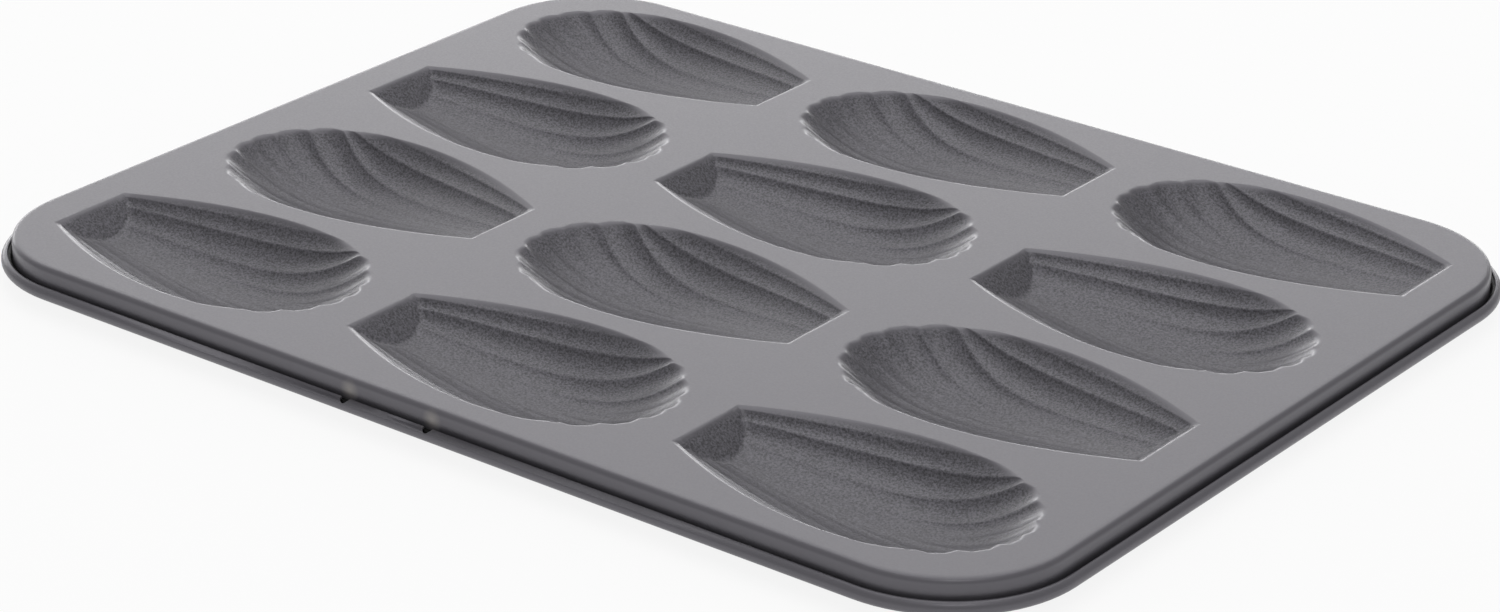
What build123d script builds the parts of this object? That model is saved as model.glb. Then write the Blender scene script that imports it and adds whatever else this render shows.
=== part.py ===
from build123d import *
from math import hypot
import os

# A pressed steel madeleine pan: one drawn sheet with twelve fluted, shell-shaped wells,
# its edge curled round a stiffening wire that runs all the way round.

os.makedirs("parts", exist_ok=True)

# Overall sizes, in millimetres. X runs along the pan, Y across it, and Z=0 is the table.
pan_length = 319.0
pan_width = 248.4
pan_corner_radius = 35.1
sheet = 0.6

# The rim: the sheet bends down, then curls outward and round the wire.
rim_bend_radius = 1.4
bead_centre_drop = 6.1
curl_end_angle = 120.0
wire_diameter = 2.2
wire_clearance = 0.05
wire_butt_gap = 1.0

# Two small holes through the top of the curl at the front, by which the pan hung while it was coated.
hanging_hole_diameter = 2.4
hanging_hole_spacing = 25.7
hanging_hole_offset = 10.65

# The wells: three columns and four rows, every other row turned end for end.
column_count = 3
row_count = 4
end_margin = 9.5
side_margin = 7.54
row_stagger_share = 0.0306

# One well, seen from its middle: u runs from the flat end to the fluted tip. Its lengths are shares
# of the column pitch, and its half widths shares of the row pitch.
back_edge_share = 0.42
back_slope_share = 0.0894
belly_run_share = 0.5
chin_run_share = 0.1763
tip_reach_share = 0.4813
shoulder_reach_share = 0.1418
back_width_share = 0.2131
shoulder_width_share = 0.4581
mouth_rise = 1.0
back_depth = 6.5
belly_depth = 13.08
chin_depth = 14.1
rest_flat_depth = 0.12

# How the sections swell, and where each ridge lies across a section, from the keel outward.
spread_power_share = 0.81
width_power_share = 2.06
back_round_shares = (2.27, 1.0)
tip_round_shares = (1.92, 1.84)
round_power_share = 2.5
back_ridge_shares = (0, 0.14, 0.26, 0.48, 0.78, 0.91, 1)
tip_ridge_shares = (0, 0.28, 0.58, 0.79, 0.82, 0.96, 1)
ridge_power_share = 2.09
back_scallop_share = 0.03
tip_scallop_share = 0.074
scallop_power_share = 2
section_shares = (0, 0.21, 0.42, 0.6, 0.75, 0.88, 1)

# Sizes that follow from the ones above.
curl_radius = wire_diameter / 2 + wire_clearance
bead_centre_reach = rim_bend_radius + curl_radius
rim_reach = bead_centre_reach + curl_radius + sheet
top_length = pan_length - 2 * rim_reach
top_width = pan_width - 2 * rim_reach
top_corner_radius = pan_corner_radius - rim_reach
column_pitch = (pan_length - 2 * end_margin) / column_count
row_pitch = (pan_width - 2 * side_margin) / row_count
row_stagger = row_stagger_share * column_pitch
back_edge = back_edge_share * column_pitch
back_foot = back_edge - back_slope_share * column_pitch
tip_reach = tip_reach_share * column_pitch
shoulder_reach = shoulder_reach_share * column_pitch
back_half_width = back_width_share * row_pitch
shoulder_half_width = shoulder_width_share * row_pitch


def blend(start, end, share):
    return start + (end - start) * share


def keel(s):
    """The lowest line of a well, as a cubic curve from the flat end to the tip, and its direction."""
    points = (
        (-back_foot, -back_depth),
        (belly_run_share * column_pitch - back_foot, -belly_depth),
        (tip_reach - chin_run_share * column_pitch, -chin_depth),
        (tip_reach, mouth_rise),
    )
    weights = ((1 - s) ** 3, 3 * (1 - s) ** 2 * s, 3 * (1 - s) * s**2, s**3)
    place = [sum(w * p[i] for w, p in zip(weights, points)) for i in (0, 1)]
    slopes = ((1 - s) ** 2, 2 * (1 - s) * s, s**2)
    along = [sum(w * (b[i] - a[i]) for w, a, b in zip(slopes, points, points[1:])) for i in (0, 1)]
    return place, along


well_depth = max(-keel(step / 100)[0][1] for step in range(101))
plate_top = well_depth + sheet - rest_flat_depth


def section(s, wall):
    """One fluted cross-section of a well, in the plane through its top line and its keel: the inside with
    no wall, and otherwise the outside, grown by it."""
    spread = s**spread_power_share
    top_u = blend(-back_edge, shoulder_reach, spread)
    half_width = blend(back_half_width, shoulder_half_width, 1 - (1 - spread) ** width_power_share)
    scallop = blend(back_scallop_share, tip_scallop_share, s**scallop_power_share)
    (keel_u, keel_z), (along_u, along_z) = keel(s)
    down_u, down_z = keel_u - top_u, keel_z - mouth_rise
    length = hypot(down_u, down_z)
    down_u, down_z = down_u / length, down_z / length
    crossing = abs(along_u * down_z - along_z * down_u) / hypot(along_u, along_z)
    back_wall = wall if s == 0 else 0
    origin = (top_u + down_z * back_wall, 0, plate_top + mouth_rise - down_u * back_wall)
    plane = Plane(origin, x_dir=(0, -1, 0), z_dir=(-down_z, 0, down_u))
    wide_power = blend(back_round_shares[0], tip_round_shares[0], s)
    deep_power = blend(back_round_shares[1], tip_round_shares[1], s**round_power_share)

    def point(share):
        """A point of the section, by its share of the half width."""
        down = (1 - abs(share) ** wide_power) ** (1 / deep_power)
        return Vector((half_width + wall) * share, (length + wall / crossing) * down)

    ridges = []
    for back_share, tip_share in zip(back_ridge_shares, tip_ridge_shares):
        share = blend(back_share, tip_share, s**ridge_power_share)
        ridges = [point(-share)] + ridges + [point(share)]
    ridges.pop(len(ridges) // 2)
    with BuildSketch(plane) as outline:
        with BuildLine():
            for start, end in zip(ridges, ridges[1:]):
                chord = end - start
                ThreePointArc(start, (start + end) / 2 + Vector(-chord.Y, chord.X) * scallop, end)
            Line(point(-1), point(1))
        make_face()
    return outline.sketch


def well_form(wall):
    """The space inside a well, or inside and wall together, up to a little above the sheet."""
    return loft([section(s, wall) for s in section_shares], ruled=True, mode=Mode.PRIVATE)


def rim_path(gap):
    """The line where the flat top ends, once round from the middle of the back side."""
    side, end = top_length / 2, top_width / 2
    with BuildLine(Plane.XY.offset(plate_top)) as path:
        FilletPolyline((-gap / 2, end), (-side, end), (-side, -end), (0, -end), radius=top_corner_radius)
        mirror(about=Plane.YZ)
    return path.wire()


def rim_plane(gap):
    """Where the rim's profile is drawn: across points outward, up stays up."""
    return Plane(origin=(-gap / 2, top_width / 2, plate_top), x_dir=(0, 1, 0), z_dir=(1, 0, 0))


# The wells stand in rows, and each other row is turned end for end and shifted.
well_places = []
for row in range(row_count):
    turned = row % 2
    y = (row - (row_count - 1) / 2) * row_pitch
    for column in range(column_count):
        x = (column - (column_count - 1) / 2) * column_pitch + (2 * turned - 1) * row_stagger
        well_places.append(Location((x, y, 0), (0, 0, 180 * turned)))

bowl_outside = split(well_form(sheet), bisect_by=Plane.XY.offset(plate_top - sheet / 2), keep=Keep.BOTTOM)
bowl_outside = split(bowl_outside, bisect_by=Plane.XY, keep=Keep.TOP)
bowl_inside = well_form(0)

# The sheet: flat top, bowls, the rim that bends down and curls round the wire, and the holes in the curl.
with BuildPart() as pan_sheet:
    with BuildSketch(Plane.XY.offset(plate_top - sheet)):
        RectangleRounded(top_length, top_width, top_corner_radius)
    extrude(amount=sheet)
    with BuildSketch(rim_plane(0)):
        with BuildLine():
            bend_centre = (0, -rim_bend_radius)
            bead_centre = (bead_centre_reach, -bead_centre_drop)
            curl = {"start_angle": 180, "arc_size": 180 + curl_end_angle}
            outer_bend = CenterArc(bend_centre, rim_bend_radius, 0, 90)
            inner_bend = CenterArc(bend_centre, rim_bend_radius - sheet, 0, 90)
            inner_curl = CenterArc(bead_centre, curl_radius, **curl)
            outer_curl = CenterArc(bead_centre, curl_radius + sheet, **curl)
            Line(outer_bend @ 0, inner_curl @ 0)
            Line(inner_bend @ 0, outer_curl @ 0)
            Line(inner_curl @ 1, outer_curl @ 1)
            Line(outer_bend @ 1, inner_bend @ 1)
        make_face()
    sweep(path=rim_path(0))
    with Locations(*well_places):
        add(bowl_outside)
    with Locations(*well_places):
        add(bowl_inside, mode=Mode.SUBTRACT)
    with BuildSketch(Plane.XY.offset(plate_top - bead_centre_drop)):
        with Locations((-hanging_hole_offset, -top_width / 2 - bead_centre_reach)):
            with GridLocations(hanging_hole_spacing, 0, 2, 1):
                Circle(hanging_hole_diameter / 2)
    extrude(amount=bead_centre_drop - sheet, mode=Mode.SUBTRACT)

# The wire lies loose in the curl, its two ends butted at the middle of the back side.
with BuildPart() as rim_wire:
    with BuildSketch(rim_plane(wire_butt_gap)):
        with Locations((bead_centre_reach, -bead_centre_drop)):
            Circle(wire_diameter / 2)
    sweep(path=rim_path(wire_butt_gap))

for name, piece in (("pan_sheet", pan_sheet), ("rim_wire", rim_wire)):
    piece.part.label = name
    export_step(piece.part, f"parts/{name}.step")
    box = piece.part.bounding_box()
    print(name, "volume", round(piece.part.volume, 1), "from", box.min, "to", box.max)
print("well depth", round(well_depth, 3), "height of the top", round(plate_top, 3))
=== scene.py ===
import math

import bmesh
import bpy
from mathutils import Matrix, Vector


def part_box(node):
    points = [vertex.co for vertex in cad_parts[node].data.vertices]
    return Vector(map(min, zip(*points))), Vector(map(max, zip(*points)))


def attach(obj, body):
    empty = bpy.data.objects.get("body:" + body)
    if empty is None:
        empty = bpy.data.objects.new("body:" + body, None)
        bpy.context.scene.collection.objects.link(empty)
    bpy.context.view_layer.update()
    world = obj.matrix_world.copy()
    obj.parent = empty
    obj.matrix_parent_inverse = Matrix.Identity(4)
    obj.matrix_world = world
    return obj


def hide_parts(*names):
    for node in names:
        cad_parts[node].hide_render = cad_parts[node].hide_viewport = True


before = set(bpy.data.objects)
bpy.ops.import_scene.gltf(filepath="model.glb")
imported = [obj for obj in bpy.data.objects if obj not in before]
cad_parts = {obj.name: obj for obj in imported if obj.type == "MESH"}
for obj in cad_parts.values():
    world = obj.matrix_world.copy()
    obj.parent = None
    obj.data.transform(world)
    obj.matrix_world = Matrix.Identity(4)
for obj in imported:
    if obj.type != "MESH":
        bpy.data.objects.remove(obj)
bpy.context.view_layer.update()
mm = 0.001

# The sheet's own box in the frame gives the pan's length, width and height.
sheetLow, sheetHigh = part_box("pan_sheet")
plateTop = sheetHigh.z


def blend(start, end, share):
    return start + (end - start) * share


def linearColour(hexText):  # sRGB hex to the linear colour that a shader socket takes
    channels = [int(hexText[i:i + 2], 16) / 255 for i in (1, 3, 5)]
    return [c / 12.92 if c <= 0.04045 else ((c + 0.055) / 1.055) ** 2.4 for c in channels] + [1]


def addNode(tree, kind, settings=None, links=None):  # one shader node, with its settings and what feeds it
    node = tree.nodes.new(kind)
    for name, value in (settings or {}).items():
        if name in node.inputs:
            node.inputs[name].default_value = value
        else:
            setattr(node, name, value)
    for name, source in (links or {}).items():
        tree.links.new(source, node.inputs[name])
    return node


# One well, in millimetres from its middle: u runs from the flat end to the fluted tip, w runs across,
# and z goes up from the flat top of the sheet, which is called the land here.
well = {
    "topLine": 1.0,  # the sections start this far above the land, and what stands over it is laid flat
    "flatEnd": -42.0,
    "keelPoints": ((-33.06, -6.5), (16.94, -13.08), (30.5, -14.1), (48.13, 1.0)),
    "shoulder": 14.18,
    "backHalfWidth": 12.43,
    "shoulderHalfWidth": 26.72,
    # how the sections swell from the flat end to the tip
    "spreadPower": 0.81,
    "widthPower": 2.06,
    "wideRound": (2.27, 1.92),
    "deepRound": (1.0, 1.84),
    "roundPower": 2.5,
    # where each ridge lies across a section, from the keel outward, at the flat end and at the tip
    "ridgesBack": (0, 0.14, 0.26, 0.48, 0.78, 0.91, 1),
    "ridgesTip": (0, 0.28, 0.58, 0.79, 0.82, 0.96, 1),
    "ridgePower": 2.09,
    "fluteDepth": (0.08, 0.2),  # as a share of a flute's width, at the flat end and at the tip
    "flutePower": 1.2,
    # shares of that depth, flute by flute from the keel outward; the outermost fade out towards the tip
    "fluteShares": ((0.8, 1), (0.8, 1), (1, 1), (2, 0.8), (2, 0.3), (1.6, 0)),
    "sharePower": 0.65,
    "ridgeSoftness": (0.15, 0),  # at the flat end and at the tip; 0 is a sharp ridge, and 1 a round one
    "lipRound": 0.5,  # the wall rolls over within this height of the land
    # where the mesh has its lines: across a flute, up to the lip, down the flat end, and near the tip
    "fluteSteps": (0, 0.07, 0.3, 0.7, 0.93),
    "lipSteps": (0, 0.1, 0.2, 0.3, 0.4, 0.5, 0.6, 0.7, 0.8, 0.9),
    "endSteps": (0, 0.05, 0.09, 0.12, 0.15, 0.185, 0.24, 0.5, 0.9),
    "creaseStep": 0.012,
    "bowlRows": 22,
    "tipSteps": (0.86, 0.875, 0.89, 0.905, 0.92, 0.932, 0.944, 0.954, 0.962, 0.97, 0.977, 0.984, 0.991, 1),
    "mergeDistance": 0.005,  # for the points that meet at each end of the flat end's edge
    "columnCount": 3,
    "rowCount": 4,
    "columnPitch": 100.0,
    "rowPitch": 58.33,
    "rowStagger": 3.06,
}

# The rim, in millimetres: outward from where the flat top ends, and down from it.
rim = {
    "reach": 4.3,
    "cornerRadius": 30.8,
    "cornerSteps": 20,
    "bendRadius": 1.4,
    "bendSteps": 6,
    "wallEnd": 5.3,
    "beadDrop": 6.1,
    "beadRadius": 1.15,  # of the wire and its clearance; the sheet lies round it
    "curlSteps": 22,
    "curlTurn": 268,  # degrees, from the wall down and round to the top of the bead, short of the wall
    "flatBorder": 0.8,  # a plain strip of land inside the bend
    "sheet": 0.6,
    "holeSides": 28,
    "holeDiameter": 2.7,
    "holeOut": 0.2,  # outward of the middle of the bead, so that each hole is a notch in the curl's edge
    "holePlaces": (-23.5, 2.2),
}


def keel(s):  # the lowest line of the bowl, a cubic curve
    weights = ((1 - s) ** 3, 3 * (1 - s) ** 2 * s, 3 * (1 - s) * s * s, s ** 3)
    return [sum(k * p[i] for k, p in zip(weights, well["keelPoints"])) for i in (0, 1)]


# A point of the pressed surface: s runs from the flat end to the tip, ridge from -6 to 6 across, and
# endShare down from the lip, which the wall at the flat end needs.
def wellPoint(s, ridge, endShare=1.0):
    spread = s ** well["spreadPower"]
    topU = blend(well["flatEnd"], well["shoulder"], spread)
    swell = 1 - (1 - spread) ** well["widthPower"]
    halfWidth = blend(well["backHalfWidth"], well["shoulderHalfWidth"], swell)
    keelU, keelZ = keel(s)
    runU, runZ = keelU - topU, keelZ - well["topLine"]
    deep = math.hypot(runU, runZ)
    widePower = blend(*well["wideRound"], s)
    deepPower = blend(*well["deepRound"], s ** well["roundPower"])

    def onSection(index):
        f = blend(well["ridgesBack"][index], well["ridgesTip"][index], s ** well["ridgePower"])
        return Vector((halfWidth * f, deep * max(0, 1 - f ** widePower) ** (1 / deepPower)))

    side = -1 if ridge < 0 else 1
    index = min(int(abs(ridge)), len(well["ridgesTip"]) - 2)
    across = abs(ridge) - index
    start, end = onSection(index), onSection(index + 1)
    chord = end - start
    depth = blend(*well["fluteDepth"], s ** well["flutePower"])
    depth *= blend(*well["fluteShares"][index], s ** well["sharePower"])
    soft = blend(*well["ridgeSoftness"], s)
    hump = blend(4 * across * (1 - across), math.sin(math.pi * across) ** 2, soft)
    place = start + chord * across + Vector((-chord.y, chord.x)) * (depth * hump)
    down = place.y / deep * endShare
    u = topU + runU * down
    z = well["topLine"] + runZ * down
    lip = well["lipRound"]
    overlap = max(0, lip - abs(z)) / lip  # a soft minimum of the wall and the land
    return Vector((u, side * place.x, min(0, z) - overlap * overlap * lip / 4)) * mm


# One well as its own mesh: a grid whose rows are the cross-sections and whose columns follow the flutes.
def makeWell():
    ridgeCount = len(well["ridgesTip"]) - 1
    half = [index + step for index in range(ridgeCount - 1) for step in well["fluteSteps"]]
    half += [ridgeCount - 1 + step for step in well["lipSteps"]]
    half.append(ridgeCount)
    columns = [-value for value in half[:0:-1]] + half
    firstTip = well["tipSteps"][0]
    rows = [(0, share) for share in well["endSteps"]]
    rows += [(0, 1), (well["creaseStep"], 1)]
    rows += [(firstTip * i / well["bowlRows"], 1) for i in range(1, well["bowlRows"])]
    rows += [(s, 1) for s in well["tipSteps"]]
    bm = bmesh.new()
    grid = bmesh.ops.create_grid(bm, x_segments=len(rows) - 1, y_segments=len(columns) - 1, size=0.5)
    for vert in grid["verts"]:
        row = round((vert.co.x + 0.5) * (len(rows) - 1))
        column = round((vert.co.y + 0.5) * (len(columns) - 1))
        s, endShare = rows[row]
        vert.co = wellPoint(s, columns[column], endShare)
    bmesh.ops.remove_doubles(bm, verts=bm.verts, dist=well["mergeDistance"] * mm)
    mesh = bpy.data.meshes.new("well")
    bm.to_mesh(mesh)
    bm.free()
    return mesh


def placeWells(bm):  # three columns and four rows; each other row is turned end for end
    mesh = makeWell()
    for row in range(well["rowCount"]):
        turned = row % 2
        for column in range(well["columnCount"]):
            before = len(bm.verts)
            bm.from_mesh(mesh)
            bm.verts.ensure_lookup_table()
            x = (column - (well["columnCount"] - 1) / 2) * well["columnPitch"]
            x += (2 * turned - 1) * well["rowStagger"]
            y = (row - (well["rowCount"] - 1) / 2) * well["rowPitch"]
            place = Matrix.Translation((x * mm, y * mm, plateTop)) @ Matrix.Rotation(math.pi * turned, 4, "Z")
            bmesh.ops.transform(bm, matrix=place, verts=bm.verts[before:])
    bpy.data.meshes.remove(mesh)


# The sheet's top face from the flat top to the end of the curl, as places (outward, down) in millimetres.
def rimProfile():
    bend = rim["bendRadius"]
    steps = []
    for i in range(rim["bendSteps"] + 1):
        angle = math.radians(90 * i / rim["bendSteps"])
        steps.append((bend * math.sin(angle), bend * (1 - math.cos(angle))))
    steps.append((bend, rim["wallEnd"]))
    centre = bend + rim["beadRadius"]
    for i in range(rim["curlSteps"] + 1):
        angle = math.radians(180 + rim["curlTurn"] * i / rim["curlSteps"])
        out = centre + rim["beadRadius"] * math.cos(angle)
        steps.append((out, rim["beadDrop"] - rim["beadRadius"] * math.sin(angle)))
    return steps


def hangingHoles(halfWidth):  # the space of the two small holes through the top of the curl at the front
    bm = bmesh.new()
    radius = rim["holeDiameter"] / 2 * mm
    deep = rim["beadDrop"] * mm
    y = -halfWidth - (rim["bendRadius"] + rim["beadRadius"] + rim["holeOut"]) * mm
    for x in rim["holePlaces"]:
        place = Matrix.Translation((x * mm, y, plateTop - deep / 2))
        bmesh.ops.create_cone(
            bm, cap_ends=True, segments=rim["holeSides"], radius1=radius, radius2=radius, depth=deep,
            matrix=place,
        )
    mesh = bpy.data.meshes.new("hangingHoles")
    bm.to_mesh(mesh)
    bm.free()
    drill = bpy.data.objects.new("hangingHoles", mesh)
    bpy.context.scene.collection.objects.link(drill)
    return drill


# The whole pressed sheet: wells, flat land between them, and the rim curled round the wire.
def makePan():
    bm = bmesh.new()
    halfLength = sheetHigh.x - rim["reach"] * mm
    halfWidth = sheetHigh.y - rim["reach"] * mm
    corner = rim["cornerRadius"] * mm
    inset = rim["flatBorder"] * mm
    placeWells(bm)
    wellEdges = [edge for edge in bm.edges if edge.is_boundary]
    grid = bmesh.ops.create_grid(bm, x_segments=1, y_segments=1, size=1)
    bmesh.ops.scale(bm, vec=(halfLength - inset, halfWidth - inset, 1), verts=grid["verts"])
    bmesh.ops.translate(bm, vec=(0, 0, plateTop), verts=grid["verts"])
    bmesh.ops.bevel(
        bm, geom=grid["verts"], offset=corner - inset, offset_type="OFFSET", segments=rim["cornerSteps"],
        profile=0.5, material=-1, affect="VERTICES",
    )
    outline = max(bm.faces, key=lambda face: face.calc_area())
    innerEdges = list(outline.edges)
    bmesh.ops.delete(bm, geom=[outline], context="FACES_ONLY")
    bmesh.ops.triangle_fill(bm, use_beauty=True, normal=(0, 0, 1), edges=innerEdges + wellEdges)
    loop = innerEdges
    for out, down in rimProfile():
        made = bmesh.ops.extrude_edge_only(bm, edges=loop)["geom"]
        loop = [item for item in made if isinstance(item, bmesh.types.BMEdge)]
        for vert in [item for item in made if isinstance(item, bmesh.types.BMVert)]:
            centre = Vector((
                max(-halfLength + corner, min(halfLength - corner, vert.co.x)),
                max(-halfWidth + corner, min(halfWidth - corner, vert.co.y)),
                plateTop - down * mm,
            ))
            away = (vert.co - centre) * Vector((1, 1, 0))
            vert.co = centre + away.normalized() * (corner + out * mm)
    bmesh.ops.recalc_face_normals(bm, faces=bm.faces)
    bm.normal_update()
    if sum(face.normal.z * face.calc_area() for face in bm.faces) < 0:
        bmesh.ops.reverse_faces(bm, faces=bm.faces)
    for face in bm.faces:
        face.smooth = True
    mesh = bpy.data.meshes.new("panTop")
    bm.to_mesh(mesh)
    bm.free()
    pan = bpy.data.objects.new("madeleinePanSheet", mesh)
    bpy.context.scene.collection.objects.link(pan)
    wall = pan.modifiers.new("sheetThickness", "SOLIDIFY")
    wall.thickness = rim["sheet"] * mm
    wall.offset = -1
    wall.use_quality_normals = True
    drill = hangingHoles(halfWidth)
    holes = pan.modifiers.new("hangingHoles", "BOOLEAN")
    holes.operation = "DIFFERENCE"
    holes.solver = "EXACT"
    holes.object = drill
    mesh = bpy.data.meshes.new_from_object(pan.evaluated_get(bpy.context.evaluated_depsgraph_get()))
    pan.modifiers.clear()
    bpy.data.objects.remove(drill)
    pan.data = mesh
    for vert in mesh.vertices:
        vert.co.z = max(vert.co.z, 0)  # the bowls are pressed flat where the pan stands
    triangles = sum(len(face.vertices) - 2 for face in mesh.polygons)
    print("pan sheet:", len(mesh.polygons), "faces,", triangles, "triangles")
    return pan


# Non-stick coating sprayed on carbon steel: satin dark grey, nearly plain on the land, and with a fine
# grain in the bowls that glitters a little. The bowls are darker than the land, partly from the grain and
# partly as painted shade, and a pale spot of painted light sits on the wall above each hanging hole.
coating = {
    "flat": "#66646A",
    # grain tones for the bowls, darker on average than the land: real grain, and painted shade in the bowls
    "dark": "#424145",
    "light": "#6D6B72",
    # painted light: a pale spot on the wall above each hanging hole, for the floor's light coming up through
    # it
    "paintedHoleLight": "#B5AFA6",
    "paintedHoleLightShare": 0.4,
    "paintedHoleLightPlace": (2.9, 3.0),  # in from the edge of the rim, and down from the top
    "paintedHoleLightReach": (0.4, 3.0),  # where a spot begins to fade, and where it has faded out
    "grainSize": 0.6,  # a sprayed grain is finer than this, which is as coarse as it needs to show
    "grainDetail": 3,
    "grainRoughness": 0.6,
    "toneRange": (0.36, 0.64),  # values of the grain that get the dark tone and the light one
    "glossRange": (0.3, 0.7),  # values of the grain that get each end of the roughness
    "roughness": (0.36, 0.5),
    "metallic": 0.45,
    "bumpDepth": 0.12,
    "bowlsReach": (150, 118, 251),  # the field of wells: half length, half width, most of both added up
    "bowlsStart": 0.2,  # below the land
    "bowlsFade": (1, 2),  # at the sides, and at the corners
    "landShare": 0.04,  # of the grain, on the land
    "coat": 0.25,
    "coatRoughness": 0.2,
}


def coatedSteel():
    material = bpy.data.materials.new("satinNonStickOnSteel")
    material.use_nodes = True
    tree = material.node_tree
    tree.nodes.clear()
    place = addNode(tree, "ShaderNodeTexCoord").outputs["Object"]
    grainScale = 1 / (coating["grainSize"] * mm)
    grain = addNode(
        tree, "ShaderNodeTexNoise",
        {"Scale": grainScale, "Detail": coating["grainDetail"], "Roughness": coating["grainRoughness"]},
        {"Vector": place},
    )
    low, high = coating["toneRange"]
    speckle = addNode(
        tree, "ShaderNodeMapRange", {"From Min": low, "From Max": high}, {"Value": grain.outputs["Fac"]},
    )
    # the bowls' tone: a real random grain, set darker on average than the land as painted shade in the bowls
    bowlGrainAndShade = addNode(tree, "ShaderNodeValToRGB", None, {"Fac": speckle.outputs["Result"]})
    bowlGrainAndShade.color_ramp.elements[0].color = linearColour(coating["dark"])
    bowlGrainAndShade.color_ramp.elements[1].color = linearColour(coating["light"])
    sides = addNode(tree, "ShaderNodeVectorMath", {"operation": "ABSOLUTE"}, {0: place})
    apart = addNode(tree, "ShaderNodeSeparateXYZ", None, {"Vector": sides.outputs["Vector"]}).outputs
    shares = []
    cornerWay = addNode(tree, "ShaderNodeMath", {"operation": "ADD"}, {0: apart["X"], 1: apart["Y"]})
    halfLength, halfWidth, cornerSum = (reach * mm for reach in coating["bowlsReach"])
    sideFade, cornerFade = (reach * mm for reach in coating["bowlsFade"])
    for way, limit, fade in (
        (apart["Z"], plateTop - coating["bowlsStart"] * mm, sideFade),
        (apart["X"], halfLength, sideFade),
        (apart["Y"], halfWidth, sideFade),
        (cornerWay.outputs["Value"], cornerSum, cornerFade),
    ):
        ends = {"From Min": limit, "From Max": limit - fade}
        shares.append(addNode(tree, "ShaderNodeMapRange", ends, {"Value": way}).outputs["Result"])
    inBowl = shares[0]
    for share in shares[1:]:
        inBowl = addNode(
            tree, "ShaderNodeMath", {"operation": "MULTIPLY"}, {0: inBowl, 1: share},
        ).outputs["Value"]
    grainShare = addNode(tree, "ShaderNodeMapRange", {"To Min": coating["landShare"]}, {"Value": inBowl})
    tone = addNode(tree, "ShaderNodeMixRGB", {"Color1": linearColour(coating["flat"])}, {
        "Fac": grainShare.outputs["Result"], "Color2": bowlGrainAndShade.outputs["Color"],
    })
    colour = tone.outputs["Color"]
    inward, down = coating["paintedHoleLightPlace"]
    inner, outer = coating["paintedHoleLightReach"]
    for x in rim["holePlaces"]:  # painted light: a pale spot on the wall above each hole, where the floor's light comes up through it
        away = addNode(tree, "ShaderNodeVectorMath", {"operation": "DISTANCE"}, {0: place})
        away.inputs[1].default_value = (x * mm, sheetLow.y + inward * mm, plateTop - down * mm)
        share = addNode(
            tree, "ShaderNodeMapRange",
            {"From Min": outer * mm, "From Max": inner * mm, "To Max": coating["paintedHoleLightShare"]},
            {"Value": away.outputs["Value"]},
        )
        colour = addNode(
            tree, "ShaderNodeMixRGB", {"Color2": linearColour(coating["paintedHoleLight"])},
            {"Fac": share.outputs["Result"], "Color1": colour},
        ).outputs["Color"]
    low, high = coating["glossRange"]
    smooth, rough = coating["roughness"]
    gloss = addNode(
        tree, "ShaderNodeMapRange",
        {"From Min": low, "From Max": high, "To Min": smooth, "To Max": rough},
        {"Value": grain.outputs["Fac"]},
    )
    bump = addNode(
        tree, "ShaderNodeBump", {"Distance": coating["bumpDepth"] * mm},
        {"Height": grain.outputs["Fac"], "Strength": grainShare.outputs["Result"]},
    )
    shader = addNode(
        tree, "ShaderNodeBsdfPrincipled",
        {
            "Metallic": coating["metallic"],
            "Coat Weight": coating["coat"],
            "Coat Roughness": coating["coatRoughness"],
        },
        {"Base Color": colour, "Roughness": gloss.outputs["Result"], "Normal": bump.outputs["Normal"]},
    )
    addNode(tree, "ShaderNodeOutputMaterial", None, {"Surface": shader.outputs["BSDF"]})
    return material


# Drawn steel wire, coloured near black as painted shade for the dark groove round it, with shinier and duller
# patches.
wire = {
    # painted shade: near black, for the shade in the groove where the wire lies
    "colour": "#222222",
    "roughness": (0.4, 0.6),
    "patchSize": 1.2,
    "patchDetail": 2,
}


def drawnWireWithPaintedShade():
    material = bpy.data.materials.new("drawnSteelWireWithPaintedShade")
    material.use_nodes = True
    tree = material.node_tree
    tree.nodes.clear()
    place = addNode(tree, "ShaderNodeTexCoord").outputs["Object"]
    patches = addNode(
        tree, "ShaderNodeTexNoise",
        {"Scale": 1 / (wire["patchSize"] * mm), "Detail": wire["patchDetail"]}, {"Vector": place},
    )
    low, high = wire["roughness"]
    gloss = addNode(
        tree, "ShaderNodeMapRange", {"To Min": low, "To Max": high}, {"Value": patches.outputs["Fac"]},
    )
    shader = addNode(
        tree, "ShaderNodeBsdfPrincipled", {"Base Color": linearColour(wire["colour"]), "Metallic": 1.0},
        {"Roughness": gloss.outputs["Result"]},
    )
    addNode(tree, "ShaderNodeOutputMaterial", None, {"Surface": shader.outputs["BSDF"]})
    return material


pan = makePan()
pan.data.materials.append(coatedSteel())
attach(pan, "root")
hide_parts("pan_sheet")
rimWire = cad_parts["rim_wire"]
rimWire.data.materials.clear()
rimWire.data.materials.append(drawnWireWithPaintedShade())
print("pan and wire ready")

# The studio, in metres and watts.
studio = {
    "floorSize": 6.0,
    "paper": "#F4F4F4",
    "whiteShare": 0.88,
    "worldStrength": 0.48,
    # soft boxes: width, height, power, place
    "boxes": {
        "backBox": (2.4, 1.3, 7.5, (-1.25, 1.1, 0.85)),
        "topBox": (1.6, 1.6, 10, (-0.3, 0.6, 1.9)),
        "horizonStrip": (3.2, 0.42, 16, (-1.5, 1.5, 0.24)),
        "frontBox": (0.5, 0.5, 2, (0.6, -0.5, 1.3)),
    },
}


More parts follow.
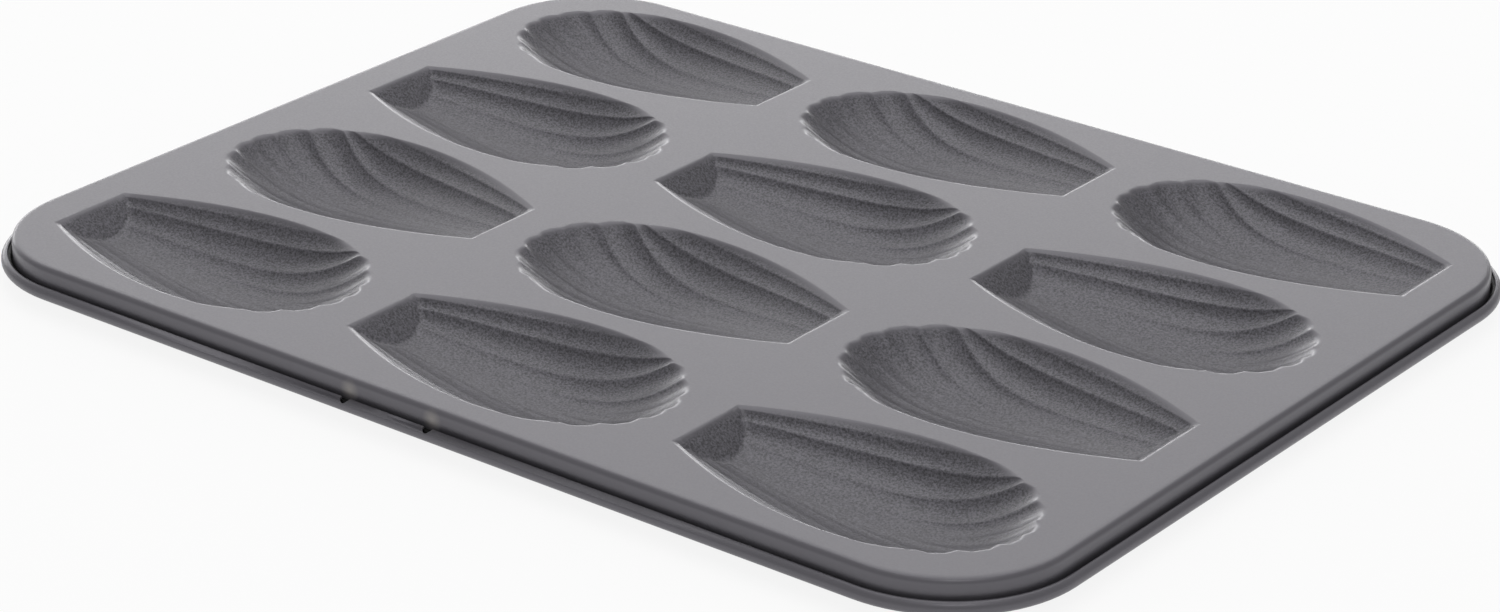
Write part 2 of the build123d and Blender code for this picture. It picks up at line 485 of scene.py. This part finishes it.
def makeFloor():  # pale paper that looks white, but keeps the pan's shadow
    bm = bmesh.new()
    bmesh.ops.create_grid(bm, x_segments=1, y_segments=1, size=studio["floorSize"] / 2)
    mesh = bpy.data.meshes.new("floor")
    bm.to_mesh(mesh)
    bm.free()
    floor = bpy.data.objects.new("floor", mesh)
    bpy.context.scene.collection.objects.link(floor)
    material = bpy.data.materials.new("whitePaper")
    material.use_nodes = True
    tree = material.node_tree
    tree.nodes.clear()
    paper = addNode(tree, "ShaderNodeBsdfDiffuse", {"Color": linearColour(studio["paper"])})
    white = addNode(tree, "ShaderNodeEmission", {"Strength": 1.0})
    rays = addNode(tree, "ShaderNodeLightPath").outputs
    seen = addNode(
        tree, "ShaderNodeMath", {"operation": "MAXIMUM"},
        {0: rays["Is Camera Ray"], 1: rays["Is Glossy Ray"]},
    )
    share = addNode(
        tree, "ShaderNodeMapRange", {"To Max": studio["whiteShare"]}, {"Value": seen.outputs["Value"]},
    )
    both = addNode(
        tree, "ShaderNodeMixShader", None,
        {0: share.outputs["Result"], 1: paper.outputs["BSDF"], 2: white.outputs["Emission"]},
    )
    addNode(tree, "ShaderNodeOutputMaterial", None, {"Surface": both.outputs["Shader"]})
    floor.data.materials.append(material)


def makeWorld():  # soft light from all round, and white where the camera looks past the floor
    world = bpy.data.worlds.new("studio")
    bpy.context.scene.world = world
    world.use_nodes = True
    tree = world.node_tree
    tree.nodes.clear()
    white = (1, 1, 1, 1)
    around = addNode(tree, "ShaderNodeBackground", {"Color": white, "Strength": studio["worldStrength"]})
    backdrop = addNode(tree, "ShaderNodeBackground", {"Color": white, "Strength": 1.0})
    rays = addNode(tree, "ShaderNodeLightPath").outputs
    both = addNode(
        tree, "ShaderNodeMixShader", None,
        {0: rays["Is Camera Ray"], 1: around.outputs["Background"], 2: backdrop.outputs["Background"]},
    )
    addNode(tree, "ShaderNodeOutputWorld", None, {"Surface": both.outputs["Shader"]})


def makeSoftBoxes():
    for name, (width, height, power, place) in studio["boxes"].items():
        lamp = bpy.data.lights.new(name, "AREA")
        lamp.shape = "RECTANGLE"
        lamp.size = width
        lamp.size_y = height
        lamp.energy = power
        box = bpy.data.objects.new(name, lamp)
        box.location = place
        box.rotation_euler = (-Vector(place)).to_track_quat("-Z", "Y").to_euler()
        bpy.context.scene.collection.objects.link(box)


# The camera as it was fitted to the photograph, in degrees and millimetres.
lens = {
    "azimuth": 37.661,
    "elevation": 24.261,
    "roll": 0.558,
    "distance": 1039.2,
    "target": (23.23, -29.54),
    "focalPixels": 4284.8,
    "shiftPixels": (1, -1),
    "imageWidth": 1500,
    "sensorWidth": 36.0,
}


def makeCamera():
    azimuth, elevation, roll = (math.radians(lens[name]) for name in ("azimuth", "elevation", "roll"))
    back = Vector((
        math.sin(azimuth) * math.cos(elevation),
        -math.cos(azimuth) * math.cos(elevation),
        math.sin(elevation),
    ))
    right = Vector((math.cos(azimuth), math.sin(azimuth), 0))
    up = back.cross(right)
    turnedRight = right * math.cos(roll) + up * math.sin(roll)
    turnedUp = up * math.cos(roll) - right * math.sin(roll)
    target = Vector((lens["target"][0] * mm, lens["target"][1] * mm, plateTop))
    data = bpy.data.cameras.new("camera")
    data.sensor_width = lens["sensorWidth"]
    data.lens = lens["focalPixels"] / lens["imageWidth"] * lens["sensorWidth"]
    data.shift_x, data.shift_y = (pixels / lens["imageWidth"] for pixels in lens["shiftPixels"])
    camera = bpy.data.objects.new("camera", data)
    camera.matrix_world = Matrix.Translation(target + back * lens["distance"] * mm) @ Matrix(
        (turnedRight, turnedUp, back)
    ).transposed().to_4x4()
    bpy.context.scene.collection.objects.link(camera)
    bpy.context.scene.camera = camera


makeFloor()
makeWorld()
makeSoftBoxes()
makeCamera()
bpy.context.scene.view_settings.view_transform = "Standard"
print("studio and camera ready")
